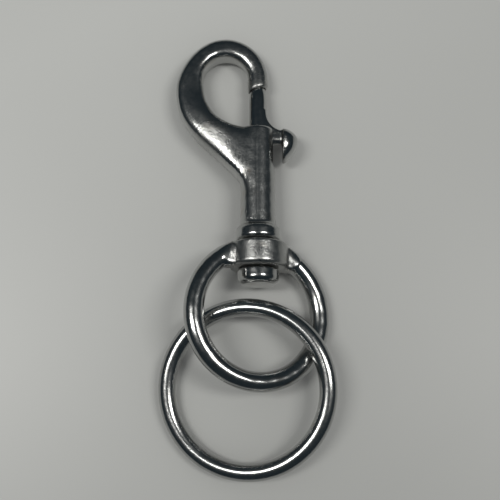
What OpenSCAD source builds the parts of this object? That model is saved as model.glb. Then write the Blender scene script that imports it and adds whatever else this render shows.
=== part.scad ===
// Swivel snap hook: a cast hook with a spring bolt, a swivelling eye and a loose welded ring.
// It lies on its side as it comes to rest: Z = 0 is the surface, +Y points to the hook's crown.

/* [Hook opening] */
// Width inside the hook, from the nose to the far wall
opening_w = 13.2; // [10:0.1:18]
// Height inside the hook, from the barrel's mouth to the crown
opening_h = 22.5; // [19:0.1:30]
// Diameter of the hook's nose
nose_d = 5.9; // [5.2:0.1:7]
// Length of the straight nose below the bow
nose_len = 3.1; // [2:0.1:6]
// Width of the bar at the crown
crown_w = 6.25; // [5:0.1:9]
// Width of the bar at the hook's back
back_w = 7.95; // [6:0.1:10]
// Thickness of the bar at the crown
crown_t = 7; // [6:0.1:9]
// Thickness of the bar at the back
back_t = 7.8; // [6:0.1:9]
// Thickness of the cheek where it meets the barrel
cheek_t = 8.4; // [7:0.1:8.8]
// How far below the mouth the cheek leaves the barrel
cheek_drop = 16.3; // [14:0.1:19]
// How much longer the nose is on its inner side
nose_lip = 1.3; // [0:0.1:1.6]

/* [Barrel] */
// Outside diameter of the barrel
barrel_d = 9.9; // [9.7:0.1:12]
// Length of the barrel, from the collar to the mouth
barrel_len = 29.6; // [28:0.1:40]
// Depth of the bore below the mouth
bore_depth = 27; // [26:0.1:28]
// Width of the slot for the thumb piece
slot_w = 4.3; // [3.6:0.1:5]
// Rounding of the barrel's mouth
mouth_round = 1.1; // [0.3:0.1:1.4]

/* [Bolt] */
// Diameter of the sliding bolt
bolt_d = 5.15; // [4.4:0.05:5.6]
// Radial clearance of the bolt in its bore
bolt_gap = 0.1; // [0.02:0.01:0.2]
// How far the bolt slides to open the hook
bolt_travel = 7.9; // [4:0.1:8.2]
// Length of the bolt that is inside the barrel when closed
bolt_in = 11.5; // [9:0.1:13]
// Height of the web that carries the thumb piece
web_h = 10.6; // [8:0.1:12]
// How far the web reaches down inside the slot
web_drop = 4.8; // [3:0.1:6]
// Side clearance of the web in its slot
web_gap = 0.35; // [0.1:0.05:0.6]
// Distance from the bolt's axis to the thumb piece
thumb_reach = 7.15; // [6:0.05:9]
// How far the thumb piece stands out from the web
thumb_out = 4.5; // [3:0.1:6]
// Length of the thumb piece along the bolt
thumb_len = 10; // [8:0.1:13]
// Width of the thumb piece across the hook
thumb_w = 9.4; // [6:0.1:12]

/* [Spring] */
// Wire of the spring
spring_wire = 0.6; // [0.4:0.05:0.8]
// Number of turns
spring_turns = 9; // [6:1:10]
// Clearance around the spring in the bore
spring_gap = 0.35; // [0.1:0.05:0.6]

/* [Swivel] */
// Diameter of the collar under the barrel
collar_d = 12.95; // [12.5:0.05:15]
// Length of the collar
collar_len = 4.35; // [3.5:0.05:6]
// Diameter of the eye's boss
boss_d = 16.6; // [15.5:0.1:20]
// Length of the eye's boss
boss_len = 7.1; // [6.4:0.1:9]
// Gap between the boss and the collar
collar_gap = 0.8; // [0.2:0.05:1]
// Gap between the boss and the stud's head
head_gap = 0.2; // [0.1:0.05:0.6]
// Diameter of the stud's peened head
head_d = 11.65; // [9:0.05:13]
// Length of the stud's head
head_len = 4.25; // [2.5:0.05:5]
// Diameter of the stud that the boss turns on
stud_d = 7; // [6:0.1:8]
// Radial clearance of the boss on the stud
stud_gap = 0.08; // [0.03:0.01:0.15]

/* [Eye] */
// Inside diameter of the eye
eye_id = 31.8; // [29:0.1:38]
// Thickness of the eye's bar
eye_bar = 5.6; // [4.6:0.1:6.4]
// Distance from the boss's middle to the eye's centre
eye_drop = 16.2; // [15.6:0.1:18]

/* [Loose ring] */
// Inside diameter of the loose ring
ring_id = 40; // [37:0.5:46]
// Wire of the loose ring
ring_wire = 5; // [4:0.1:5.6]
// Distance from the eye's centre to the ring's centre, along the hook
ring_drop = 20.4; // [19.5:0.1:24]
// Distance of the ring's centre from the hook's axis
ring_shift = 3.2; // [2.4:0.1:4]
// Direction in which the ring rises, from +X
ring_heading = 28; // [15:1:40]
// Clearance between the ring and the eye where they cross
ring_gap = 0.25; // [0.1:0.05:0.6]

/* [Hidden] */
$fn = 64;
steel = [0.44, 0.46, 0.48];
steel_dark = [0.36, 0.38, 0.4];
steel_bright = [0.62, 0.63, 0.64];
wire_steel = [0.5, 0.52, 0.54];

// Heights along the hook's own axis, from the middle of the boss
collar_y = boss_len/2 + collar_gap;
foot_y = collar_y + collar_len;
mouth_y = foot_y + barrel_len;
crown_y = mouth_y + opening_h;
head_y = -boss_len/2 - head_gap;
bore_y = mouth_y - bore_depth;
bow_r = opening_w/2;
bow_x = -nose_d/2 - bow_r;
bow_y = crown_y - bow_r;
nose_y = bow_y - nose_len;

// The tapered end of the bolt and the cup in the nose that it seats in
seat_gap = 0.12;
bolt_foot = mouth_y - bolt_in;
taper_y = nose_y - 2.2;
tip_y = nose_y + 0.2;
bolt_top = nose_y + 0.9;
tip_d = bolt_d - 0.95;

// The web, the slot it slides in and the foot of the slot
web_t = slot_w - 2*web_gap;
web_y = mouth_y - web_drop;
stop_gap = 0.1;
slot_foot = web_y - bolt_travel - stop_gap;

// The spring stands on the floor of the bore
spring_foot = bore_y;
spring_d = bolt_d + 2*bolt_gap - 2*spring_gap;

// How the hook lies: on the edge of the boss and the underside of the crown
boss_round = 0.8;
boss_r = boss_d/2;
rest_y = boss_len/2 - boss_round;
crown_mid = crown_y + crown_w/2;
lie_angle = atan((boss_r - crown_t/2)/(crown_mid - rest_y));
swivel_z = rest_y*sin(lie_angle) + (boss_r - boss_round)*cos(lie_angle) + boss_round;

// How the eye lies: rolled until its bar meets the surface
eye_r = (eye_id + eye_bar)/2;
eye_z = swivel_z + eye_drop*sin(lie_angle);
eye_lift = (eye_z - eye_bar/2)/eye_r;
eye_roll = acos(min(1, sqrt(1 - eye_lift*eye_lift)/cos(lie_angle)));

// How the ring lies: one side on the surface, the other across the eye's low arm
ring_r = (ring_id + ring_wire)/2;
span = norm([ring_shift, ring_drop]);
chord = (eye_r*eye_r - ring_r*ring_r + span*span)/(2*span);
half_chord = sqrt(eye_r*eye_r - chord*chord);
cross_x = (-ring_shift*chord + ring_drop*half_chord)/span;
cross_y = (-ring_drop*chord - ring_shift*half_chord)/span;
cross_z = eye_z - cross_x*tan(eye_roll) - cross_y*tan(lie_angle);
over = (eye_bar + ring_wire)/2 + ring_gap;
cross_run = (cross_x + ring_shift)*cos(ring_heading) + (cross_y + ring_drop)*sin(ring_heading);
crossing_slack = 1.06;
ring_lean = asin((cross_z + over*crossing_slack - ring_wire/2)/(ring_r + cross_run));
ring_z = ring_wire/2 + ring_r*sin(ring_lean);

// The frame's origin: under the middle of the whole, hook and ring together
ring_reach = ring_r*sqrt(1 - pow(sin(ring_lean)*sin(ring_heading), 2)) + ring_wire/2;
crown_reach = (crown_y + crown_w)*cos(lie_angle);
axis_x = ring_shift;
swivel_y = (ring_drop + eye_drop*cos(lie_angle) + ring_reach - crown_reach)/2;

module lie() { translate([axis_x, swivel_y, swivel_z]) rotate([-lie_angle, 0, 0]) children(); }
module turned() { rotate([-90, 0, 0]) rotate_extrude() children(); }

// A quarter arc from angle a to b about a centre, as points
function arc(cx, cy, rx, ry, a, b, n) =
    [for (i = [0:n]) let (t = a + (b - a)*i/n) [cx + rx*cos(t), cy + ry*sin(t)]];
// A cubic curve through p0 and p3, pulled towards p1 and p2
function bezier(p0, p1, p2, p3, t) =
    pow(1 - t, 3)*p0 + 3*pow(1 - t, 2)*t*p1 + 3*(1 - t)*t*t*p2 + pow(t, 3)*p3;
// A power that keeps the sign, for the rounded-square section
function spow(v, e) = sign(v)*pow(abs(v), e);
// A smooth step from 0 to 1
function ease(t) = t*t*(3 - 2*t);
// Side faces and end caps of rings of m points, k rings in all
function skin(k, m) = concat(
    [[for (j = [0:m - 1]) j]],
    [for (i = [0:k - 2], j = [0:m - 1]) let (a = i*m + j, b = i*m + (j + 1) % m) [a, a + m, b + m, b]],
    [[for (j = [m - 1:-1:0]) (k - 1)*m + j]]);

// The hook's bar: its inner and outer edges, thickness and squareness at each station
bow_steps = 26;
leg_steps = 24;
section_points = 28;
outer_ry = crown_y + crown_w - bow_y;
back_x = bow_x - bow_r - back_w;
back_drop = 3.7;
leg_end = -0.8;
cheek_y = mouth_y - cheek_drop;
diag_x = bow_x;
diag_y = cheek_y + 0.6 - barrel_d/2 - diag_x;
inner_bow = arc(bow_x, bow_y, bow_r, bow_r, 0, 180, bow_steps);
function outer_bow(t) = let (right = t < 90)
    [bow_x + (right ? nose_d/2 - bow_x : bow_x - back_x)*cos(t), bow_y + outer_ry*sin(t)
     - back_drop*(right ? 0 : pow(-cos(t), 2))];
function inner_leg(t) = bezier([bow_x - bow_r, bow_y], [bow_x - bow_r, bow_y - 8.6],
    [leg_end - 11.6, mouth_y - 0.05], [leg_end, mouth_y - 0.05], t);
function outer_leg(t) = t < 0.7
    ? bezier([back_x, bow_y - back_drop], [back_x, bow_y - back_drop - 11.6],
             [diag_x - 7.7, diag_y + 7.7], [diag_x, diag_y], t/0.7)
    : bezier([diag_x, diag_y], [diag_x + 2.6, diag_y - 2.6],
             [-barrel_d/2 + 0.2, cheek_y + 0.9], [-barrel_d/2 + 1.4, cheek_y - 3.6], (t - 0.7)/0.3);
// Each station: inner point, outer point, half thickness, inner and outer squareness
stations = concat(
    [for (i = [0:4]) let (f = i/5, y = nose_y + nose_len*f)
        [[-nose_d/2, y - nose_lip*(1 - f)], [nose_d/2, y + 0.2*(1 - f)], nose_d/2, 2, 2]],
    [for (i = [0:bow_steps]) let (t = 180*i/bow_steps, e = ease(min(1, t/90)))
        [inner_bow[i], outer_bow(t),
         t < 90 ? nose_d/2 + (crown_t - nose_d)/2*e : crown_t/2 + (back_t - crown_t)/2*ease((t - 90)/90),
         2 + 1.6*e, 2 + 0.3*e]],
    [for (i = [1:leg_steps]) let (t = i/leg_steps)
        [inner_leg(t), outer_leg(t), back_t/2 + (cheek_t - back_t)/2*ease(t) - 0.5*ease(max(0, t - 0.7)/0.3),
         3.6, 2.3 + 0.3*ease(t)]]);
function section(s) = let (mid = (s[0] + s[1])/2, half = (s[1] - s[0])/2)
    [for (j = [0:section_points - 1]) let (a = 360*j/section_points, n = cos(a) < 0 ? s[3] : s[4])
        [mid[0] + half[0]*spow(cos(a), 2/n), mid[1] + half[1]*spow(cos(a), 2/n), -s[2]*spow(sin(a), 2/n)]];

module hook_bar() {
    polyhedron([for (s = stations) each section(s)], skin(len(stations), section_points), convexity = 8);
}

// Barrel, collar, stud and the stud's head, turned about the hook's axis
module barrel_blank() {
    flare = 0.35;
    shoulder = 1.7;
    turned() polygon(concat(
        [[0, head_y - head_len]],
        arc(head_d/2 - 1.9, head_y - head_len + 1.9, 1.9, 1.9, -90, 0, 7),
        arc(head_d/2 - 0.6, head_y - 0.6, 0.6, 0.6, 0, 90, 4),
        [[stud_d/2, head_y], [stud_d/2, collar_y]],
        arc(collar_d/2 - 1.2, collar_y + 1.2, 1.2, 1.2, -90, 0, 5),
        arc(barrel_d/2 + flare, foot_y - shoulder, (collar_d - barrel_d)/2 - flare, shoulder, 0, 90, 6),
        [[barrel_d/2 + flare, foot_y + 0.5], [barrel_d/2, foot_y + 1.6]],
        arc(barrel_d/2 - mouth_round, mouth_y - mouth_round, mouth_round, mouth_round, 0, 90, 5),
        [[0, mouth_y]]));
}

module barrel_cuts() {
    turned() polygon([[0, bore_y], [bolt_d/2 + bolt_gap, bore_y], [bolt_d/2 + bolt_gap, mouth_y + 1], [0, mouth_y + 1]]);
    translate([0, slot_foot + slot_w/2, -slot_w/2]) cube([barrel_d, mouth_y, slot_w]);
    translate([0, slot_foot + slot_w/2, 0]) rotate([0, 90, 0]) cylinder(d = slot_w, h = barrel_d);
    turned() bolt_profile(seat_gap, nose_y - 4);
}

// Half the bolt's outline above a height, grown by a gap
module bolt_profile(gap, from_y) {
    polygon([[0, from_y], [bolt_d/2 + gap, from_y], [bolt_d/2 + gap, taper_y], [tip_d/2 + gap, tip_y],
             [tip_d/2 + gap, bolt_top - 0.3], [tip_d/2 - 0.3 + gap, bolt_top + gap], [0, bolt_top + gap]]);
}

module hook_body() color(steel) lie() difference() {
    union() {
        hook_bar();
        barrel_blank();
    }
    barrel_cuts();
}

// The thumb piece's outline from its inner edge, and its domed slices
thumb_top = mouth_y - 0.35;
thumb_points = 30;
thumb_slices = 9;
function thumb_edge(s) = let (top = s < 0.42, a = top ? 90*s/0.42 : 90 + 90*(s - 0.42)/0.58)
    top ? [thumb_out*sin(a), -0.35*thumb_len*(1 - cos(a))]
        : let (u = (s - 0.42)/0.58) [thumb_out*(1 - pow(u, 2.1)), -0.35*thumb_len - 0.65*thumb_len*u];
thumb_outline = concat([for (i = [0:thumb_points - 5]) thumb_edge(i/(thumb_points - 5))],
    [for (i = [1:4]) [0.4*sin(36*i), -thumb_len*(1 - i/5)]]);
module thumb_piece() {
    anchor = [0.25*thumb_out, -0.42*thumb_len];
    rings = [for (i = [-thumb_slices:thumb_slices]) -84*i/thumb_slices];
    translate([thumb_reach, thumb_top, 0]) polyhedron(
        [for (a = rings, p = thumb_outline) let (q = anchor + (p - anchor)*pow(cos(a), 0.8)) [q[0], q[1], thumb_w/2*sin(a)]],
        skin(len(rings), thumb_points), convexity = 3);
}

module thumb_bolt() color(steel_dark) lie() union() {
    turned() bolt_profile(0, bolt_foot);
    web_fillet = web_h - web_drop;
    web_end = thumb_reach + 0.6;
    translate([1, web_y + web_t/2, 0]) rotate([0, 90, 0]) cylinder(d = web_t, h = web_end - 1);
    translate([0, 0, -web_t/2]) linear_extrude(web_t) polygon(concat(
        [[1, web_y + web_t/2], [web_end, web_y + web_t/2]],
        [for (a = [90:-10:0]) [web_end - (web_end - 0.1 - bolt_d/2)*cos(a),
                               mouth_y + web_fillet - (web_fillet + 0.6)*sin(a)]],
        [[1, mouth_y + web_fillet]]));
    thumb_piece();
}

// How far up its run the wire is: the first and last turns lie closed, the rest rise evenly
coil_run = bolt_foot - spring_foot - spring_wire - 0.1;
dead = 1/spring_turns;
closed = spring_wire*1.1/coil_run;
function rise(t) = t < dead ? closed*t/dead
    : t > 1 - dead ? 1 - closed*(1 - t)/dead
    : closed + (1 - 2*closed)*(t - dead)/(1 - 2*dead);

module bolt_spring() color(wire_steel) lie() {
    sides = 8;
    per_turn = 20;
    coil_r = (spring_d - spring_wire)/2;
    steps = spring_turns*per_turn;
    polyhedron([for (i = [0:steps], j = [0:sides - 1])
        let (t = i/steps, a = 360*spring_turns*t, b = 360*j/sides, r = coil_r + spring_wire/2*cos(b))
        [r*cos(a), spring_foot + 0.05 + spring_wire/2 + coil_run*rise(t) + spring_wire/2*sin(b), r*sin(a)]],
        skin(steps + 1, sides), convexity = 12);
}

module eye_shoulder(side) {
    join = asin(boss_r/eye_r) + 11;
    edge_x = sqrt(boss_r*boss_r - eye_bar*eye_bar/4);
    hull() {
        translate([side*(edge_x + 0.1), 0, 0]) cube([1.4, boss_len - 0.7, eye_bar], center = true);
        translate([0, -eye_drop, 0]) rotate([0, 0, -side*join]) translate([0, eye_r, 0])
            rotate([0, 90, 0]) cylinder(d = eye_bar, h = 0.4, center = true, $fn = 32);
    }
}

module swivel_eye() color(steel) lie() rotate([0, eye_roll, 0]) difference() {
    arm = asin(boss_r/eye_r) - 1;
    union() {
        turned() polygon(concat([[0, -boss_len/2]],
            arc(boss_r - boss_round, -boss_len/2 + boss_round, boss_round, boss_round, -90, 0, 5),
            arc(boss_r - boss_round, boss_len/2 - boss_round, boss_round, boss_round, 0, 90, 5),
            [[0, boss_len/2]]));
        translate([0, -eye_drop, 0]) rotate([0, 0, 90 + arm]) rotate_extrude(angle = 360 - 2*arm)
            translate([eye_r, 0]) circle(d = eye_bar, $fn = 48);
        for (side = [-1, 1]) eye_shoulder(side);
    }
    rotate([90, 0, 0]) cylinder(d = stud_d + 2*stud_gap, h = 2*boss_len, center = true);
}

module loose_ring() color(steel_bright)
    translate([0, swivel_y - eye_drop*cos(lie_angle) - ring_drop, ring_z])
    rotate([0, 0, ring_heading]) rotate([0, -ring_lean, 0])
    rotate_extrude() translate([ring_r, 0]) circle(d = ring_wire, $fn = 48);

hook_body();
thumb_bolt();
bolt_spring();
swivel_eye();
loose_ring();
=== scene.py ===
"""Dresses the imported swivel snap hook: cast and polished steel on a pale table, seen from nearly straight above."""

import math

import bpy
import numpy as np
from bpy.props import FloatProperty, FloatVectorProperty, PointerProperty
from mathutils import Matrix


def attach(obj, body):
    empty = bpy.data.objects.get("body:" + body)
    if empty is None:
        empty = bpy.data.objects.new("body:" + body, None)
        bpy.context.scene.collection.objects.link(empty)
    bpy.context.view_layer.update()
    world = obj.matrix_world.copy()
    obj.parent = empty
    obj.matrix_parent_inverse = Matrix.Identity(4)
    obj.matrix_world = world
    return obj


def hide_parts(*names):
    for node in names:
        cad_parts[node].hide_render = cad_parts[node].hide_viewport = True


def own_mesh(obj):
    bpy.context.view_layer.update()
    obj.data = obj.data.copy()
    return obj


bl_info = {
    "name": "Swivel snap hook",
    "version": (1, 0, 0),
    "blender": (4, 5, 0),
    "location": "3D View > Sidebar > Snap hook",
    "description": "Casts, bends and finishes the pieces of a swivel snap hook around its fixed frame",
    "category": "Object",
}

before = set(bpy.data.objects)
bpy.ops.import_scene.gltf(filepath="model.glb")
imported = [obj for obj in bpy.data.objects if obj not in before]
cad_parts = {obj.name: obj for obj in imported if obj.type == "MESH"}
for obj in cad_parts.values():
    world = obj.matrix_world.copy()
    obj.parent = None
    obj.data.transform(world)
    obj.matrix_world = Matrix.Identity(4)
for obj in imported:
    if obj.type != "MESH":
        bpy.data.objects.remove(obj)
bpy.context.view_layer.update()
MM = 0.001

# Sizes are in mm. Those along the hook's own axis, with Y in their names, start at the middle of the eye's boss and
# grow towards the crown, and X is across it, to the thumb piece's side. R is a radius and HALF half a thickness.
# RIM is the rounding of a rim, EDGE that of a corner between two faces, FILLET that of an inner corner.

# Where the axis starts, how far it falls towards the crown, how the eye is rolled about it and how the ring lies
AXIS_X, AXIS_Y, AXIS_Z = 3.2, -2.6814, 8.4921
LIE = math.radians(4.4864)
EYE_ROLL = math.radians(21.4053)
RING_HEADING, RING_LEAN, RING_Z = math.radians(28), math.radians(9.5624), 6.2377

# The turned parts. Two rims are the lower and the upper one, and SUNK is how far a part runs on inside the next
HEAD_R, HEAD_END, HEAD_Y, HEAD_RIMS = 5.825, -8.0, -3.75, (1.95, 0.7)
STUD_R, STUD_RIM, STUD_SUNK, STUD_FILLET = 3.5, 0.3, 2, 0.3
COLLAR_R, COLLAR_Y, FOOT_Y, COLLAR_RIMS, COLLAR_FILLET = 6.475, 4.35, 8.7, (1.3, 1.7), 1.0
BARREL_R, BARREL_SUNK, MOUTH_Y, MOUTH_RIM = 4.95, 1, 38.3, 1.1
RIM_PAST = 5

# What is cut out: the bore, the slot that the web slides in and the nose's cup that takes the bolt's tip
BORE_R, BORE_Y, BORE_RIM, BORE_EDGE = 2.675, 11.3, 0.4, 0.35
SLOT_HALF, SLOT_FOOT, SLOT_EDGE = 2.15, 25.5, 0.6
CUP_GAP, CUP_Y, CUP_EDGE = 0.12, 46, 0.25
CUT_TOP = 45

# The bar's edge lines: an arch about the bowl's centre, a straight nose, and curves that run down into the barrel.
# PULL is how far a curve's end is pulled along its direction. The root's points are from the barrel's side.
BOW_X, BOW_Y, BOW_R, BOW_DEGREES = -9.55, 54.2, 6.6, (0, 115)
BACK_X, BACK_DROP, BACK_DEGREES = -24.1, 3.7, (65, 180)
CROWN_Y, CROWN_W = 60.8, 6.25
NOSE_R, NOSE_TAIL_Y, NOSE_END_Y, NOSE_SLANT, NOSE_EDGE = 2.95, 46.1, 50.55, 1.5, 1.3
BOWL_X, BOWL_Y, BOWL_TAIL_X, BOWL_PULLS = -0.8, MOUTH_Y - 0.05, 4, (8.6, 11.6)
CHEEK_Y, CHEEK_CORNER, BACK_PULLS, ROOT_PULL = 22.0, 0.6, (11.6, 7.7), 2.6
ROOT_BEND, ROOT_END, ROOT_TAIL = (0.2, 0.9), (1.4, -3.6), (1.6, -9)
ARCH_POINTS, CURVE_POINTS = 47, 40
BOW_STEPS, LEG_STEPS = ARCH_POINTS, ARCH_POINTS + CURVE_POINTS

# The bar's section: half its thickness, and its squareness inside and outside, where 2 is round. A span is the step
# of the inner edge line where a change starts, and the number of steps that it takes.
CROWN_HALF, BACK_HALF, CHEEK_HALF = 3.5, 3.9, 4.75
ROUND, CROWN_IN, BACK_IN = 2, 3.2, 3.6
CROWN_OUT, CHEEK_OUT, ROOT_OUT = 2.5, 3.8, 5.8
BOW_SPAN, BACK_SPAN, CHEEK_SPAN = (1, 36.8), (10, 36), (50, 28)
CHEEK_OUT_SPAN, ROOT_OUT_SPAN = (30, 40), (74, 12)
BEVEL, BEVEL_SPAN, BEVEL_END_SPAN = 0.08, (46, 16), (78, 9)
BEVEL_START, BEVEL_BEND, BEVEL_LEVEL = 0.15, 0.2, 0.1
SWELL, SWELL_X, SWELL_Y, SWELL_SPREAD = 0.03, -13.1, 34.6, 50
BOW_LOW_Y, LEG_RIGHT_X, LEG_LOW_Y, LEG_END_X, LEG_EDGE = 46.5, 1, 10, -0.8, 0.4
ELSEWHERE = 4.0  # the distance given where there is no bar near

# Bolt, web and thumb piece. The thumb piece's outline is widest at WIDEST of its length and tapers over TAPER of it
BOLT_R, TIP_R, TAPER_Y, TIP_Y, TAPER_EDGE = 2.575, 2.1, 48.9, 51.3, 0.3
BOLT_TOP, BOLT_FOOT, BOLT_RIM = 52.0, 26.95, 0.5
WEB_Y, WEB_TOP, WEB_HALF, WEB_END, WEB_SUNK = 33.5, 44.1, 1.8, 7.75, 0.5
WEB_PAST_BOLT, WEB_PAST_MOUTH, WEB_SCALE = 0.35, 0.6, 5
WEB_TOP_EDGE, WEB_END_EDGE, WEB_EDGE, WEB_FILLET = 0.3, 0.5, 0.7, 0.9
THUMB_X, THUMB_Y, THUMB_OUT, THUMB_LEN, THUMB_W = 7.15, 37.95, 4.5, 9.5, 9.4
THUMB_WIDEST, THUMB_TAPER, THUMB_POWER, THUMB_W_POWER = 0.35, 0.72, 2.2, 0.55
THUMB_END_EDGE, THUMB_EDGE, THUMB_FILLET = 0.4, 0.5, 0.8
CAST_FROM_X = 2.2

# Eye and ring
EYE_R, EYE_BAR, EYE_DROP = 18.7, 5.6, 16.2
BOSS_R, BOSS_HALF, BOSS_RIMS, BOSS_FILLET, STUD_GAP = 8.3, 3.55, (1.35, 0.7), 0.35, 0.08
SHOULDER_TURN, SHOULDER_START, SHOULDER_SLIM = math.radians(11), (BOSS_R - 0.9, 0.05), 0.35
SHOULDER_SQUARE, SHOULDER_EDGE, SHOULDER_FILLET = 8, 0.3, 0.5
RING_R, RING_WIRE, RING_SLIM, RING_DROP, RING_WOBBLE = 22.5, 5.0, 0.04, 20.4, 0.012
RING_STEPS, RING_BAR_STEPS = 420, 56

# Casting ripple: its wavelength and its height
BODY_RIPPLE, HEAD_RIPPLE, SMALL_RIPPLE = (7.0, 0.035), (5.0, 0.03), (6.0, 0.03)

# The corners of the boxes in which the castings are worked out, each on its own axis
HOOK_BOX = (-24.6, -8.8, -7.4), (7.4, 68.6, 7.4)
BOLT_BOX = (-3.2, 25.8, -5.4), (12.4, 53.0, 5.4)
EYE_BOX = (-22.4, -38.6, -8.9), (22.4, 4.2, 8.9)
CHUNK = 40000
SLOPE_STEP, LONGEST_MOVE = 0.02, 0.25

# Where the cast skin shows on the hook, the thumb piece and the eye's boss: the rest is polished
SKIN_X, SKIN_Y, SKIN_SPREAD, BARREL_SKIN, BOSS_SKIN = -13.5, 34.8, 55, 0.4, 0.7
BARREL_SKIN_X, BOW_SKIN_Y, THUMB_SKIN_X, BOSS_SKIN_R = 6, 48, (2.4, 8.6), 10.5

# Finishes: noise in waves to the metre, relief in metres
BLOTCHES, GRAIN, HAIRS, STAINS, CLOUDS = 260.0, 1700.0, 900.0, 150.0, 9.0
RELIEF, HAIR_RELIEF = 0.00004, 0.12
# The first value below is painted shade: the factor by which the table's colour darkens towards its lower right,
# standing in for the light falling off there
TABLE_PAINTED_FALLOFF, TABLE_GLOSS = 0.72, 0.38

# Stage, in metres
TABLE_HALF = 1.5
LIGHTS = {"ceiling_light_left": (-0.66, 0.04, 1.3), "ceiling_light_right": (0.72, 0.04, 1.3)}
LIGHT_LENGTH, LIGHT_WIDTH, LIGHT_WATTS, LIGHT_COLOUR = 0.66, 0.26, 8.6, (1.0, 0.985, 0.95)
ROOM_COLOUR, MIRRORED_ROOM = (0.5, 0.5, 0.5, 1.0), (0.021, 0.030, 0.036, 1.0)
CAMERA_PLACE, CAMERA_TILT, CAMERA_CLIP = (0.0009, -0.0432, 0.238), math.radians(10.5), 0.01
LENS, SENSOR = 59.76, 36.0


class SnapSettings(bpy.types.PropertyGroup):
    """Sizes and colours of the snap hook and its table that a user would change."""

    cast_fillet: FloatProperty(
        name="Casting fillet", description="Rounding where the hook's bar runs into the barrel",
        default=0.0009, min=0.0003, max=0.004, unit="LENGTH")
    grain: FloatProperty(
        name="Mesh step", description="Step of the grid that the castings are worked out on",
        default=0.0003, min=0.0002, max=0.001, unit="LENGTH")
    steel: FloatVectorProperty(
        name="Steel", description="Colour of the polished steel", subtype="COLOR",
        size=4, min=0.0, max=1.0, default=(0.48, 0.485, 0.48, 1.0))
    skin: FloatVectorProperty(
        name="Cast skin", description="Colour of the rough cast faces", subtype="COLOR",
        size=4, min=0.0, max=1.0, default=(0.36, 0.365, 0.355, 1.0))
    stain: FloatVectorProperty(
        name="Stain", description="Colour of the brown handling stain in the hollows", subtype="COLOR",
        size=4, min=0.0, max=1.0, default=(0.30, 0.22, 0.15, 1.0))
    table: FloatVectorProperty(
        name="Table", description="Colour of the pale laminate the hook lies on", subtype="COLOR",
        size=4, min=0.0, max=1.0, default=(0.405, 0.413, 0.402, 1.0))


# Placing


def turned_x(p, angle):
    """Points turned about X by an angle: y and z mix by its sine and cosine."""
    c, s = math.cos(angle), math.sin(angle)
    return np.stack([p[..., 0], p[..., 1] * c - p[..., 2] * s, p[..., 1] * s + p[..., 2] * c], -1)


def turned_y(p, angle):
    """Points turned about Y by an angle: z and x mix by its sine and cosine."""
    c, s = math.cos(angle), math.sin(angle)
    return np.stack([p[..., 0] * c + p[..., 2] * s, p[..., 1], -p[..., 0] * s + p[..., 2] * c], -1)


def turned_z(p, angle):
    """Points turned about Z by an angle: x and y mix by its sine and cosine."""
    c, s = math.cos(angle), math.sin(angle)
    return np.stack([p[..., 0] * c - p[..., 1] * s, p[..., 0] * s + p[..., 1] * c, p[..., 2]], -1)


def lay_hook(p):
    """From the hook's own axis to the table: turned down by the lie, then moved."""
    return turned_x(p, -LIE) + np.array([AXIS_X, AXIS_Y, AXIS_Z])


def lay_eye(p):
    """From the eye's own plane to the table: rolled about the hook's axis, then laid as the hook."""
    return lay_hook(turned_y(p, EYE_ROLL))


def lay_ring(p):
    """From the ring's own plane to the table: leaned, turned to its heading, then moved."""
    centre = np.array([0.0, AXIS_Y - EYE_DROP * math.cos(LIE) - RING_DROP, RING_Z])
    return turned_z(turned_y(p, -RING_LEAN), RING_HEADING) + centre


# Solid shapes as distance formulas, in mm. Each is negative inside and positive outside.


def soft_min(a, b, k):
    """The lesser of two distances, rounded over a width k: min minus h squared times k over 4, h = 1 - |a-b|/k."""
    h = np.maximum(1 - np.abs(a - b) / k, 0)
    return np.minimum(a, b) - h * h * k / 4


def soft_max(a, b, k):
    """The greater of two distances, rounded over a width k."""
    return -soft_min(-a, -b, k)


def round_bar(p, radius, low, high, rounding):
    """A cylinder about the Y axis from low to high with rounded rims: the rounded box formula on (radius, height)."""
    across = np.hypot(p[..., 0], p[..., 2]) - (radius - rounding)
    along = np.abs(p[..., 1] - (low + high) / 2) - ((high - low) / 2 - rounding)
    outside = np.hypot(np.maximum(across, 0), np.maximum(along, 0))
    return outside + np.minimum(np.maximum(across, along), 0) - rounding


def two_rims(p, radius, low, high, rims):
    """A cylinder whose lower and upper rim differ: what two longer ones have in common, each with one of the rims."""
    return np.maximum(round_bar(p, radius, low, high + RIM_PAST, rims[0]),
                      round_bar(p, radius, low - RIM_PAST, high, rims[1]))


def bezier(p0, p1, p2, p3, t):
    """A cubic curve from p0 to p3, pulled towards p1 and p2, at each t from 0 to 1."""
    t = t[:, None]
    p0, p1, p2, p3 = (np.array(p, float) for p in (p0, p1, p2, p3))
    return (1 - t) ** 3 * p0 + 3 * (1 - t) ** 2 * t * p1 + 3 * (1 - t) * t * t * p2 + t ** 3 * p3


def far_from_line(xy, line):
    """Signed distance in the plane from points to a polyline, positive on its left.

    The nearest point of every segment is found by clamping the projection, and the nearest segment wins. Its
    cross product gives the side, and its place along the line from 0 to 1 comes second.
    """
    start, run = line[:-1], np.diff(line, axis=0)
    length2 = (run ** 2).sum(1)
    flat = xy.reshape(-1, 2)
    best = np.empty((len(flat), 2))
    for a in range(0, len(flat), CHUNK):
        q = flat[a:a + CHUNK, None, :] - start
        t = np.clip((q * run).sum(2) / length2, 0, 1)
        gap2 = ((q - t[..., None] * run) ** 2).sum(2)
        near = gap2.argmin(1)
        pick = np.arange(len(near))
        off = q[pick, near]
        side = run[near, 0] * off[:, 1] - run[near, 1] * off[:, 0]
        best[a:a + CHUNK, 0] = np.sqrt(gap2[pick, near]) * np.where(side < 0, -1, 1)
        best[a:a + CHUNK, 1] = (near + t[pick, near]) / len(run)
    return best.reshape(xy.shape[:-1] + (2,))


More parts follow.
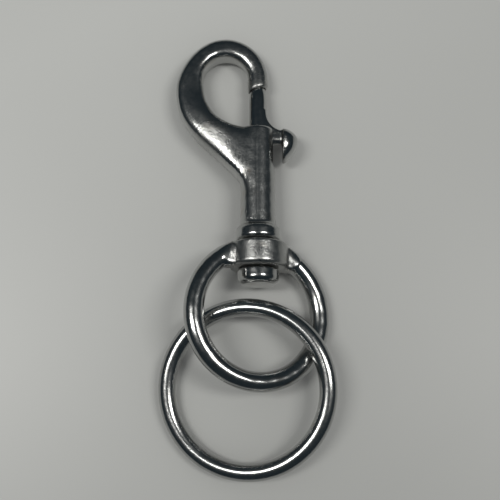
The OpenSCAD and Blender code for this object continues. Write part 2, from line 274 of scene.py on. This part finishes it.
def arch(degrees):
    """Inner and outer edge of the bow between two angles, from 0 at the nose to 180 at the back."""
    t = np.radians(np.linspace(*degrees, ARCH_POINTS))
    inner = np.stack([BOW_X + BOW_R * np.cos(t), BOW_Y + BOW_R * np.sin(t)], 1)
    past_crown = t > math.pi / 2
    drop = np.where(past_crown, BACK_DROP * np.cos(t) ** 2, 0)
    reach = np.where(past_crown, BOW_X - BACK_X, NOSE_R - BOW_X)
    height = CROWN_Y + CROWN_W - BOW_Y
    outer = np.stack([BOW_X + reach * np.cos(t), BOW_Y + height * np.sin(t) - drop], 1)
    return inner, outer


def bow_lines():
    """Inner and outer edge of the nose and the bow, from below the nose to past the crown, as polylines."""
    return [np.vstack([[edge[0, 0], NOSE_TAIL_Y], edge]) for edge in arch(BOW_DEGREES)]


def leg_lines():
    """Inner and outer edge of the back and the cheek, from before the crown down into the barrel, as polylines."""
    inner, outer = arch(BACK_DEGREES)
    s = np.linspace(0, 1, CURVE_POINTS + 1)[1:]
    side = BOW_X - BOW_R
    bowl = bezier((side, BOW_Y), (side, BOW_Y - BOWL_PULLS[0]), (BOWL_X - BOWL_PULLS[1], BOWL_Y), (BOWL_X, BOWL_Y), s)
    top = BOW_Y - BACK_DROP
    slant_y = CHEEK_Y + CHEEK_CORNER - BARREL_R - BOW_X
    back = bezier((BACK_X, top), (BACK_X, top - BACK_PULLS[0]),
                  (BOW_X - BACK_PULLS[1], slant_y + BACK_PULLS[1]), (BOW_X, slant_y), s)
    corner = np.array([-BARREL_R, CHEEK_Y])
    root = bezier((BOW_X, slant_y), (BOW_X + ROOT_PULL, slant_y - ROOT_PULL),
                  corner + ROOT_BEND, corner + ROOT_END, s)
    return np.vstack([inner, bowl, [BOWL_TAIL_X, BOWL_Y]]), np.vstack([outer, back, root, corner + ROOT_TAIL])


BOW_LINES, LEG_LINES = bow_lines(), leg_lines()


def flat_bar(p, lines, half, square_in, square_out, bevel=None):
    """The bar between two edge lines: |across|^n + |z / half|^n = 1, across running from -1 inside to 1 outside.

    half and the squarenesses are functions of the place along the inner line. The distance is the formula's root
    less 1, times half the lesser of the bar's width and thickness. A bevel thins the bar towards its outer edge.
    """
    column = p.ndim == 3
    xy = p[:, 0, :2] if column else p[..., :2]
    inner, outer = -far_from_line(xy, lines[0]), far_from_line(xy, lines[1])
    if column:
        inner, outer = inner[:, None], outer[:, None]
    width = np.maximum(outer[..., 0] + inner[..., 0], 0.5)
    across = (inner[..., 0] - outer[..., 0]) / width
    place = -inner[..., 1]
    thick = half(place)
    if bevel:
        near = np.clip(across, -1, 1.2)
        fall = np.sqrt((near + BEVEL_START) ** 2 + BEVEL_BEND ** 2) + near - BEVEL_LEVEL
        thick = thick * (1 - bevel(place) * fall)
    n = np.where(across < 0, square_in(place), square_out(place))
    root = (np.abs(across) ** n + np.abs(p[..., 2] / thick) ** n) ** (1 / n)
    return (root - 1) * np.minimum(width / 2, thick)


def eased(t):
    """A step from 0 to 1 that leaves and lands gently: 3 t squared less 2 t cubed."""
    t = np.clip(t, 0, 1)
    return t * t * (3 - 2 * t)


def change(s, steps, span):
    """How far a change has come at a place on a line of that many steps: its span is where it starts and its steps."""
    return eased((s * steps - span[0]) / span[1])


def hook_bar(p):
    """Nose, bow, back and cheek. The bow's lines serve right of the crown and above the bowl, the leg's elsewhere."""
    plan = p[:, :, 0] if p.ndim == 4 else p
    on_bow = (plan[..., 0] > BOW_X) & (plan[..., 1] > BOW_LOW_Y)
    on_leg = ~on_bow & (plan[..., 0] < LEG_RIGHT_X) & (plan[..., 1] > LEG_LOW_Y)
    far = np.full(p.shape[:-1], ELSEWHERE)
    q = p[on_bow]
    bow = flat_bar(q, BOW_LINES,
                   lambda s: NOSE_R + (CROWN_HALF - NOSE_R) * change(s, BOW_STEPS, BOW_SPAN),
                   lambda s: ROUND + (CROWN_IN - ROUND) * change(s, BOW_STEPS, BOW_SPAN),
                   lambda s: ROUND + (CROWN_OUT - ROUND) * change(s, BOW_STEPS, BOW_SPAN))
    slant = NOSE_END_Y + q[..., 0] * NOSE_SLANT / (2 * NOSE_R)
    far[on_bow] = soft_max(bow, slant - q[..., 1], NOSE_EDGE)
    q = p[on_leg]
    swell = 1 + SWELL * np.exp(-((q[..., 0] - SWELL_X) ** 2 + (q[..., 1] - SWELL_Y) ** 2) / SWELL_SPREAD)
    leg = flat_bar(np.concatenate([q[..., :2], q[..., 2:] / swell[..., None]], -1), LEG_LINES,
                   lambda s: CROWN_HALF + (BACK_HALF - CROWN_HALF) * change(s, LEG_STEPS, BACK_SPAN)
                   + (CHEEK_HALF - BACK_HALF) * change(s, LEG_STEPS, CHEEK_SPAN),
                   lambda s: CROWN_IN + (BACK_IN - CROWN_IN) * change(s, LEG_STEPS, BACK_SPAN),
                   lambda s: CROWN_OUT + (CHEEK_OUT - CROWN_OUT) * change(s, LEG_STEPS, CHEEK_OUT_SPAN)
                   + (ROOT_OUT - CHEEK_OUT) * change(s, LEG_STEPS, ROOT_OUT_SPAN),
                   lambda s: BEVEL * (change(s, LEG_STEPS, BEVEL_SPAN) - change(s, LEG_STEPS, BEVEL_END_SPAN)))
    far[on_leg] = soft_max(leg, q[..., 0] - LEG_END_X, LEG_EDGE)
    return far


def bolt_rod(p):
    """The bolt: a cylinder, a cone that narrows to the tip and two flat ends, all with softly rounded edges."""
    r = np.hypot(p[..., 0], p[..., 2])
    taper = math.atan2(BOLT_R - TIP_R, TIP_Y - TAPER_Y)
    cone = (r - BOLT_R) * math.cos(taper) + (p[..., 1] - TAPER_Y) * math.sin(taper)
    rod = soft_max(r - BOLT_R, cone, TAPER_EDGE)
    return soft_max(soft_max(rod, p[..., 1] - BOLT_TOP, BOLT_RIM), BOLT_FOOT - p[..., 1], BOLT_RIM)


def ripple(p, size, height):
    """The slight unevenness of a casting: three products of sine waves, of about that wavelength and height."""
    q = p * (2 * math.pi / size)
    x, y, z = q[..., 0], q[..., 1], q[..., 2]
    waves = (np.sin(x + 0.7 * y + 0.3) * np.sin(0.8 * z - 0.5 * x + 1.1) + np.sin(0.9 * y - 0.6 * z + 2.0)
             * np.sin(0.55 * x + 0.8 * y) + 0.6 * np.sin(1.7 * y + 1.3 * x) * np.sin(1.5 * z + 0.4))
    return height * waves / 2.6


def hook_casting(p):
    """The hook's body: bar, barrel, collar, stud and head grown together, less the bore, the slot and the nose's cup."""
    fillet = bpy.context.scene.snap.cast_fillet / MM
    barrel = round_bar(p, BARREL_R, COLLAR_Y + BARREL_SUNK, MOUTH_Y, MOUTH_RIM)
    collar = two_rims(p, COLLAR_R, COLLAR_Y, FOOT_Y, COLLAR_RIMS)
    stud = round_bar(p, STUD_R, HEAD_Y - STUD_SUNK, COLLAR_Y + STUD_SUNK, STUD_RIM)
    head = two_rims(p, HEAD_R, HEAD_END, HEAD_Y, HEAD_RIMS)
    body = soft_min(barrel, collar, COLLAR_FILLET)
    body = soft_min(body, hook_bar(p), fillet)
    body = body + ripple(p, *BODY_RIPPLE)
    body = np.minimum(soft_min(body, stud, STUD_FILLET), head + ripple(p, *HEAD_RIPPLE))
    bore = round_bar(p, BORE_R, BORE_Y, CUT_TOP, BORE_RIM)
    slot_end = np.hypot(p[..., 2], np.maximum(SLOT_FOOT + SLOT_HALF - p[..., 1], 0)) - SLOT_HALF
    slot = np.maximum(np.maximum(slot_end, -p[..., 0]), p[..., 1] - CUT_TOP)
    body = soft_max(soft_max(body, -bore, BORE_EDGE), -slot, SLOT_EDGE)
    cup = np.maximum(bolt_rod(p) - CUP_GAP, CUP_Y - p[..., 1])
    return soft_max(body, -cup, CUP_EDGE)


def thumb_casting(p):
    """The bolt with its web and thumb piece.

    The web is a plate whose upper edge is a quarter of an ellipse. The thumb piece is a dome over a teardrop:
    (x / a)^2 + (z / b)^2 = 1, with a and b rounding off above and narrowing below to a tip at its inner face.
    """
    x, y, z = p[..., 0], p[..., 1], p[..., 2]
    sweep = 1 - np.hypot((x - WEB_END) / (WEB_END - BOLT_R + WEB_PAST_BOLT),
                         (y - WEB_TOP) / (WEB_TOP - MOUTH_Y + WEB_PAST_MOUTH))
    plate = soft_max(soft_max(sweep * WEB_SCALE, y - WEB_TOP, WEB_TOP_EDGE),
                     np.maximum(x - WEB_END - WEB_SUNK, -x), WEB_END_EDGE)
    edge = np.hypot(z, np.maximum(WEB_Y + WEB_HALF - y, 0)) - WEB_HALF
    web = soft_max(plate, edge, WEB_EDGE)
    u, v = x - THUMB_X, (THUMB_Y - y) / THUMB_LEN
    above = np.sqrt(np.clip(1 - ((THUMB_WIDEST - v) / THUMB_WIDEST) ** 2, 0.002, 1))
    below = np.clip(1 - np.clip((v - THUMB_WIDEST) / THUMB_TAPER, 0, 1) ** THUMB_POWER, 0.1, 1)
    swell = np.where(v < THUMB_WIDEST, above, below)
    a, b = THUMB_OUT * swell, THUMB_W / 2 * swell ** THUMB_W_POWER
    dome = (np.hypot(u / a, z / b) - 1) * np.minimum(a, b)
    ends = (np.abs(v - 0.5) - 0.5) * THUMB_LEN
    thumb = soft_max(soft_max(dome, ends, THUMB_END_EDGE), -u, THUMB_EDGE)
    body = soft_min(soft_min(bolt_rod(p), web, WEB_FILLET), thumb, THUMB_FILLET)
    return body + ripple(p, *SMALL_RIPPLE) * eased((x - CAST_FROM_X) / 2)


def eye_casting(p):
    """The eye: a ring of round bar, a boss with rounded rims and two shoulders that turn from square to round.

    A shoulder's section is |across / h|^n + |z / r|^n = 1, with n falling from SHOULDER_SQUARE at the boss to 2 at
    the bar. t runs along the shoulder and v across it.
    """
    x, y, z = np.abs(p[..., 0]), p[..., 1], p[..., 2]
    bar = EYE_BAR / 2
    ring = np.hypot(np.hypot(x, y + EYE_DROP) - EYE_R, z) - bar
    ring = np.maximum(ring, np.minimum(BOSS_R - 0.5 - np.hypot(x, z), y + EYE_DROP))
    boss = two_rims(p, BOSS_R, -BOSS_HALF, BOSS_HALF, BOSS_RIMS)
    turn = math.asin(BOSS_R / EYE_R) + SHOULDER_TURN
    near = np.array(SHOULDER_START)
    run = np.array([EYE_R * math.sin(turn), EYE_R * math.cos(turn) - EYE_DROP]) - near
    length = np.hypot(*run)
    t = ((x - near[0]) * run[0] + (y - near[1]) * run[1]) / length
    v = ((y - near[1]) * run[0] - (x - near[0]) * run[1]) / length
    s = np.clip(t / length, 0, 1)
    n = SHOULDER_SQUARE - (SHOULDER_SQUARE - ROUND) * s
    tall = (BOSS_HALF - SHOULDER_SLIM) * (1 - s * s) + bar * s * s
    block = ((np.abs(v / tall) ** n + np.abs(z / bar) ** n) ** (1 / n) - 1) * bar
    block = soft_max(block, np.maximum(-t, t - length), SHOULDER_EDGE)
    body = soft_min(ring, block, SHOULDER_FILLET)
    body = soft_min(body, boss, BOSS_FILLET) + ripple(p, *SMALL_RIPPLE)
    return np.maximum(body, np.minimum(STUD_R + STUD_GAP - np.hypot(x, z), y + EYE_DROP))


# Turning distance formulas into meshes


def slope(shape, p):
    """How fast a distance formula grows at each point, by small steps both ways along each axis."""
    parts = []
    for k in range(3):
        shift = np.zeros(3)
        shift[k] = SLOPE_STEP
        parts.append((shape(p + shift) - shape(p - shift)) / (2 * SLOPE_STEP))
    return np.stack(parts, -1)


def net(shape, low, high, step):
    """The surface where a distance formula is zero, as points and four-sided faces.

    The formula is worked out on a grid. A cell that the surface crosses gets one point, the mean of the crossings
    on its edges, and each grid edge that is crossed joins the four cells round it into a face.
    """
    axes = [np.arange(a, b + step, step) for a, b in zip(low, high)]
    grid = np.stack(np.meshgrid(*axes, indexing="ij"), -1)
    value = shape(grid)
    inside = value < 0
    cells = tuple(n - 1 for n in value.shape)
    total, count = np.zeros(cells + (3,)), np.zeros(cells)
    crossed = []
    for k in range(3):
        lower = [slice(None)] * 3
        upper = [slice(None)] * 3
        lower[k], upper[k] = slice(0, -1), slice(1, None)
        a, b = value[tuple(lower)], value[tuple(upper)]
        flip = inside[tuple(lower)] != inside[tuple(upper)]
        crossed.append((flip, inside[tuple(lower)]))
        where = np.argwhere(flip)
        t = a[flip] / (a[flip] - b[flip])
        point = grid[tuple(where.T)].copy()
        point[:, k] += t * step
        i, j = [n for n in range(3) if n != k]
        for di in (0, 1):
            for dj in (0, 1):
                cell = where.copy()
                cell[:, i] -= di
                cell[:, j] -= dj
                index = tuple(cell.T)
                np.add.at(total, index, point)
                np.add.at(count, index, 1)
    number = -np.ones(cells, int)
    used = count > 0
    number[used] = np.arange(used.sum())
    points = total[used] / count[used][:, None]
    faces = []
    for k, (flip, was_inside) in enumerate(crossed):
        where = np.argwhere(flip)
        i, j = (k + 1) % 3, (k + 2) % 3
        corners = []
        for di, dj in ((1, 1), (0, 1), (0, 0), (1, 0)):
            cell = where.copy()
            cell[:, i] -= di
            cell[:, j] -= dj
            corners.append(number[tuple(cell.T)])
        quad = np.stack(corners, 1)
        outward = was_inside[flip]
        faces.append(np.where(outward[:, None], quad, quad[:, ::-1]))
    return points, np.vstack(faces)


def settle(shape, points, faces, rounds=3):
    """Points drawn evenly over the surface: each moves to the mean of its neighbours, then back along the slope."""
    edges = np.vstack([faces[:, [k, (k + 1) % 4]] for k in range(4)])
    for turn in range(rounds):
        if turn:
            total, count = np.zeros_like(points), np.zeros(len(points))
            for a, b in ((0, 1), (1, 0)):
                np.add.at(total, edges[:, a], points[edges[:, b]])
                np.add.at(count, edges[:, a], 1)
            points = points + 0.5 * (total / count[:, None] - points)
        grow = slope(shape, points)
        step = shape(points)[:, None] * grow / np.maximum((grow ** 2).sum(1), 0.05)[:, None]
        points = points - np.clip(step, -LONGEST_MOVE, LONGEST_MOVE)
    grow = slope(shape, points)
    return points, grow / np.maximum(np.linalg.norm(grow, axis=1), 1e-6)[:, None]


def mesh_piece(name, points, faces, body, normals=None, masks=None):
    """A piece from whole arrays, in metres: its faces, exact normals where they are known, and masks as attributes."""
    mesh = bpy.data.meshes.new(name)
    mesh.from_pydata(points, [], faces.tolist())
    mesh.update()
    mesh.polygons.foreach_set("use_smooth", np.ones(len(mesh.polygons), bool))
    for key, values in (masks or {}).items():
        mesh.attributes.new(key, "FLOAT", "POINT").data.foreach_set("value", values.astype(np.float32))
    if normals is not None:
        mesh.normals_split_custom_set_from_vertices(normals)
    piece = bpy.data.objects.new(name, mesh)
    bpy.context.scene.collection.objects.link(piece)
    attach(piece, body)
    return piece


def torus(radius, bar, round_steps, bar_steps, wobble):
    """A ring of round bar on a grid of two angles: (R + r cos b) about Z and r sin b up, with a slight unevenness."""
    a = np.linspace(0, 2 * math.pi, round_steps, endpoint=False)[:, None]
    b = np.linspace(0, 2 * math.pi, bar_steps, endpoint=False)[None, :]
    r = bar / 2 + wobble * (np.sin(3 * a + 1) + 0.6 * np.sin(7 * a + 2 * b) + 0.4 * np.sin(11 * a - b))
    across = radius + wobble * 2 * np.sin(2 * a + 0.5) + r * np.cos(b)
    points = np.stack([across * np.cos(a), across * np.sin(a), r * np.sin(b) + 0 * a], -1)
    i, j = np.meshgrid(np.arange(round_steps), np.arange(bar_steps), indexing="ij")
    i2, j2 = (i + 1) % round_steps, (j + 1) % bar_steps
    quad = np.stack([i * bar_steps + j, i2 * bar_steps + j, i2 * bar_steps + j2, i * bar_steps + j2], -1)
    return points.reshape(-1, 3), quad.reshape(-1, 4)


def cast_piece(name, shape, box, lay, node, body, rough):
    """One casting: its net, settled and laid on the table, standing for its CAD node, with its rough faces marked."""
    step = bpy.context.scene.snap.grain / MM * 1.0
    points, faces = net(shape, *box, step)
    points, normals = settle(shape, points, faces)
    piece = mesh_piece(name, lay(points) * MM, faces, body, lay(normals) - lay(np.zeros(3)),
                       {"rough": rough(points)})
    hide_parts(node)
    return piece


# Finishes


class Value:
    """A shader socket that Python's operators work on, each adding one Math node."""

    def __init__(self, finish, socket):
        self.finish, self.socket = finish, socket

    def _math(self, operation, a, b=0.0):
        return self.finish.value("ShaderNodeMath", {"operation": operation}, {0: a, 1: b})

    def __add__(self, other):
        return self._math("ADD", self, other)

    def __sub__(self, other):
        return self._math("SUBTRACT", self, other)

    def __rsub__(self, other):
        return self._math("SUBTRACT", other, self)

    def __mul__(self, other):
        return self._math("MULTIPLY", self, other)

    __radd__, __rmul__ = __add__, __mul__

    def clipped(self):
        """Held between 0 and 1."""
        return self._math("MINIMUM", self._math("MAXIMUM", self, 0.0), 1.0)


class Finish:
    """A node material and the nodes it is made of."""

    def __init__(self, name):
        self.material = bpy.data.materials.new(name)
        self.material.use_nodes = True
        self.tree = self.material.node_tree
        self.shader = self.tree.nodes["Principled BSDF"]
        self.place = self.node("ShaderNodeTexCoord").outputs["Object"]

    def node(self, kind, settings=None, inputs=None):
        """Any node: its settings first, then the values or links of its sockets."""
        node = self.tree.nodes.new(kind)
        for key, setting in (settings or {}).items():
            setattr(node, key, setting)
        for key, given in (inputs or {}).items():
            self.feed(node.inputs[key], given)
        return node

    def value(self, kind, settings=None, inputs=None, output=0):
        """The output of a node, as a Value."""
        return Value(self, self.node(kind, settings, inputs).outputs[output])

    def feed(self, socket, given):
        """Links a Value or a socket, or sets a plain number or colour."""
        if isinstance(given, Value):
            given = given.socket
        if isinstance(given, bpy.types.NodeSocket):
            self.tree.links.new(given, socket)
        else:
            socket.default_value = given

    def noise(self, scale, detail, roughness):
        """A noise pattern from 0 to 1, that many waves to the metre."""
        return self.value("ShaderNodeTexNoise", {}, {
            "Vector": self.place, "Scale": scale, "Detail": detail, "Roughness": roughness})

    def ramp(self, value, low, high, to_low=0.0, to_high=1.0):
        """value from low..high spread to to_low..to_high and held there."""
        return self.value("ShaderNodeMapRange", {"clamp": True}, {
            "Value": value, "From Min": low, "From Max": high, "To Min": to_low, "To Max": to_high})

    def mix(self, factor, a, b):
        """Colour a where factor is 0 and b where it is 1."""
        return self.value("ShaderNodeMix", {"data_type": "RGBA"}, {0: factor, 6: a, 7: b}, 2)

    def attribute(self, name):
        """A mask that the mesh carries."""
        return self.value("ShaderNodeAttribute", {"attribute_name": name}, {}, 2)

    def set(self, **sockets):
        """Sets or links the shader's sockets, spelt with underscores for spaces."""
        for key, given in sockets.items():
            self.feed(self.shader.inputs[key.replace("_", " ")], given)

    def bump(self, height, distance):
        """A Bump node on a height from 0 to 1, that many metres deep."""
        return self.value("ShaderNodeBump", {}, {"Height": height, "Distance": distance, "Strength": 1.0})


def cast_steel(name, gloss, cast, dull=0.08):
    """Polished steel with fine hairs and brown stains, and where it is cast a rougher grey skin where the mask says."""
    settings = bpy.context.scene.snap
    finish = Finish(name)
    blotch = finish.noise(BLOTCHES, 4.0, 0.6)
    grain = finish.noise(GRAIN, 3.0, 0.65)
    hairs = finish.noise(HAIRS, 4.0, 0.7)
    if cast:
        skin = (finish.attribute("rough") * finish.ramp(blotch, 0.3, 0.65, 0.55, 1.0)).clipped()
    else:
        skin = finish.ramp(blotch, 0.52, 0.75, 0.0, 0.35)
    stain = finish.ramp(finish.noise(STAINS, 5.0, 0.65), 0.58, 0.78, 0.0, 0.5)
    colour = finish.mix(skin, tuple(settings.steel), tuple(settings.skin))
    colour = finish.mix(stain, colour, tuple(settings.stain))
    roughness = skin * dull + finish.ramp(hairs, 0.35, 0.7, gloss - 0.02, gloss + 0.04)
    fibres = finish.ramp(hairs, 0.3, 0.8)
    relief = skin * (finish.ramp(grain, 0.3, 0.75) + fibres) + fibres * HAIR_RELIEF
    finish.set(Base_Color=colour, Metallic=1.0, Roughness=roughness, Normal=finish.bump(relief, RELIEF))
    return finish.material


def table_top():
    """Pale laminate: one soft colour with painted shade that darkens it slowly towards the lower right, faintly
    clouded, and a dull gloss.
    """
    settings = bpy.context.scene.snap
    finish = Finish("pale_laminate")
    cloud = finish.noise(CLOUDS, 3.0, 0.5) * 0.05
    # Painted shade: the colour darkens across the table towards the lower right, standing in for the light falling off
    place = finish.node("ShaderNodeSeparateXYZ", {}, {0: finish.place})
    drift = Value(finish, place.outputs[0]) - Value(finish, place.outputs[1]) * 1.2 + cloud
    plain = tuple(settings.table)
    painted_falloff = tuple(c * TABLE_PAINTED_FALLOFF for c in plain[:3]) + (1.0,)
    finish.set(Base_Color=finish.mix(finish.ramp(drift, -0.11, 0.15), plain, painted_falloff), Roughness=TABLE_GLOSS,
               Specular_IOR_Level=0.35)
    return finish.material


def room():
    """A grey world that lights the scene softly, and that polished steel mirrors as a dark room."""
    world = bpy.data.worlds.new("room")
    world.use_nodes = True
    nodes, links = world.node_tree.nodes, world.node_tree.links
    plain, mirrored = nodes["Background"], nodes.new("ShaderNodeBackground")
    plain.inputs["Color"].default_value = ROOM_COLOUR
    mirrored.inputs["Color"].default_value = MIRRORED_ROOM
    path, either = nodes.new("ShaderNodeLightPath"), nodes.new("ShaderNodeMixShader")
    links.new(path.outputs["Is Glossy Ray"], either.inputs[0])
    links.new(plain.outputs[0], either.inputs[1])
    links.new(mirrored.outputs[0], either.inputs[2])
    links.new(either.outputs[0], nodes["World Output"].inputs["Surface"])
    return world


# Pieces


class SNAP_OT_hook(bpy.types.Operator):
    """Casts the hook's body: bar, barrel, collar, stud and head in one piece"""

    bl_idname = "snap.hook"
    bl_label = "Hook casting"

    def execute(self, context):
        def rough(p):
            x, y = p[:, 0], p[:, 1]
            cheek = np.exp(-((x - SKIN_X) ** 2 + (y - SKIN_Y) ** 2) / SKIN_SPREAD)
            barrel = (np.abs(x) < BARREL_SKIN_X) & (y > FOOT_Y - 1.5)
            low = np.maximum(cheek, barrel * BARREL_SKIN) * eased((BOW_SKIN_Y + 1 - y) / 4) * eased((y - 6) / 2)
            nose = (0.5 + 0.45 * eased((54 - y) / 2)) * eased((x + 8) / 5)
            return np.maximum(low, np.maximum(nose, 0.3) * eased((y - BOW_SKIN_Y) / 3))

        piece = cast_piece("hook_casting", hook_casting, HOOK_BOX, lay_hook, "hook_body", "hook",
                           rough)
        piece.data.materials.append(cast_steel("cast_steel_body", 0.18, True, 0.16))
        return {"FINISHED"}


class SNAP_OT_bolt(bpy.types.Operator):
    """Casts the sliding bolt with its web and thumb piece, and sets the spring under it"""

    bl_idname = "snap.bolt"
    bl_label = "Bolt and spring"

    def execute(self, context):
        def rough(p):
            return eased((p[:, 0] - THUMB_SKIN_X[0]) / 1.2) * eased(THUMB_SKIN_X[1] - p[:, 0])

        piece = cast_piece("thumb_casting", thumb_casting, BOLT_BOX, lay_hook, "thumb_bolt", "bolt",
                           rough)
        piece.data.materials.append(cast_steel("cast_steel_bolt", 0.15, True))
        spring = bpy.data.objects.new("coil_spring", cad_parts["bolt_spring"].data.copy())
        bpy.context.scene.collection.objects.link(spring)
        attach(spring, "hook")
        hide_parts("bolt_spring")
        foot, top = lay_hook(np.array([[0, BORE_Y, 0], [0, BOLT_FOOT, 0]])) * MM
        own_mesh(spring)
        spring.data.materials.clear()
        spring.data.materials.append(cast_steel("spring_wire_steel", 0.25, False))
        return {"FINISHED"}


class SNAP_OT_eye(bpy.types.Operator):
    """Casts the swivelling eye: ring, boss and shoulders in one piece"""

    bl_idname = "snap.eye"
    bl_label = "Swivel eye"

    def execute(self, context):
        def rough(p):
            boss = eased((BOSS_SKIN_R - np.hypot(p[:, 0], p[:, 2])) / 1.5) * (p[:, 1] > -6)
            return BOSS_SKIN * boss

        piece = cast_piece("eye_casting", eye_casting, EYE_BOX, lay_eye, "swivel_eye", "eye", rough)
        piece.data.materials.append(cast_steel("cast_steel_eye", 0.18, True, 0.2))
        return {"FINISHED"}


class SNAP_OT_ring(bpy.types.Operator):
    """Bends the loose ring of round wire"""

    bl_idname = "snap.ring"
    bl_label = "Loose ring"

    def execute(self, context):
        points, faces = torus(RING_R, RING_WIRE - RING_SLIM, RING_STEPS, RING_BAR_STEPS, RING_WOBBLE)
        piece = mesh_piece("welded_ring", lay_ring(points) * MM, faces, "ring")
        piece.data.materials.append(cast_steel("ring_steel", 0.19, False))
        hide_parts("loose_ring")
        return {"FINISHED"}


class SNAP_OT_table(bpy.types.Operator):
    """Lays the pale table, hangs the two ceiling lights, makes the dim room and sets the camera"""

    bl_idname = "snap.table"
    bl_label = "Table, lights and camera"

    def execute(self, context):
        scene = context.scene
        corners = [(x * TABLE_HALF, y * TABLE_HALF, 0) for x, y in ((-1, -1), (1, -1), (1, 1), (-1, 1))]
        mesh = bpy.data.meshes.new("table_top")
        mesh.from_pydata(corners, [], [(0, 1, 2, 3)])
        floor = bpy.data.objects.new("table_top", mesh)
        floor.data.materials.append(table_top())
        scene.collection.objects.link(floor)
        for name, place in LIGHTS.items():
            lamp = bpy.data.lights.new(name, "AREA")
            lamp.shape, lamp.size, lamp.size_y = "RECTANGLE", LIGHT_LENGTH, LIGHT_WIDTH
            lamp.energy, lamp.color = LIGHT_WATTS, LIGHT_COLOUR
            holder = bpy.data.objects.new(name, lamp)
            holder.location = place
            scene.collection.objects.link(holder)
        scene.world = room()
        lens = bpy.data.cameras.new("camera")
        lens.lens, lens.sensor_width, lens.clip_start = LENS, SENSOR, CAMERA_CLIP
        camera = bpy.data.objects.new("camera", lens)
        camera.location = CAMERA_PLACE
        camera.rotation_euler = (CAMERA_TILT, 0, 0)
        scene.collection.objects.link(camera)
        scene.camera = camera
        scene.view_settings.view_transform = "Standard"
        return {"FINISHED"}


class SNAP_PT_pieces(bpy.types.Panel):
    """Lists the pieces, the stage and their settings"""

    bl_idname = "SNAP_PT_pieces"
    bl_label = "Snap hook"
    bl_space_type = "VIEW_3D"
    bl_region_type = "UI"
    bl_category = "Snap hook"

    def draw(self, context):
        for operator in OPERATORS:
            self.layout.operator(operator.bl_idname)
        for key in SnapSettings.__annotations__:
            self.layout.prop(context.scene.snap, key)


OPERATORS = (SNAP_OT_table, SNAP_OT_hook, SNAP_OT_bolt, SNAP_OT_eye, SNAP_OT_ring)
CLASSES = (SnapSettings,) + OPERATORS + (SNAP_PT_pieces,)


def register():
    """Adds the classes and the scene's settings."""
    for item in CLASSES:
        bpy.utils.register_class(item)
    bpy.types.Scene.snap = PointerProperty(type=SnapSettings)


def unregister():
    """Takes the settings and the classes away again."""
    del bpy.types.Scene.snap
    for item in reversed(CLASSES):
        bpy.utils.unregister_class(item)


def main():
    """Registers the add-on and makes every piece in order."""
    register()
    for operator in OPERATORS:
        group, name = operator.bl_idname.split(".")
        getattr(getattr(bpy.ops, group), name)()


if __name__ == "__main__":
    main()
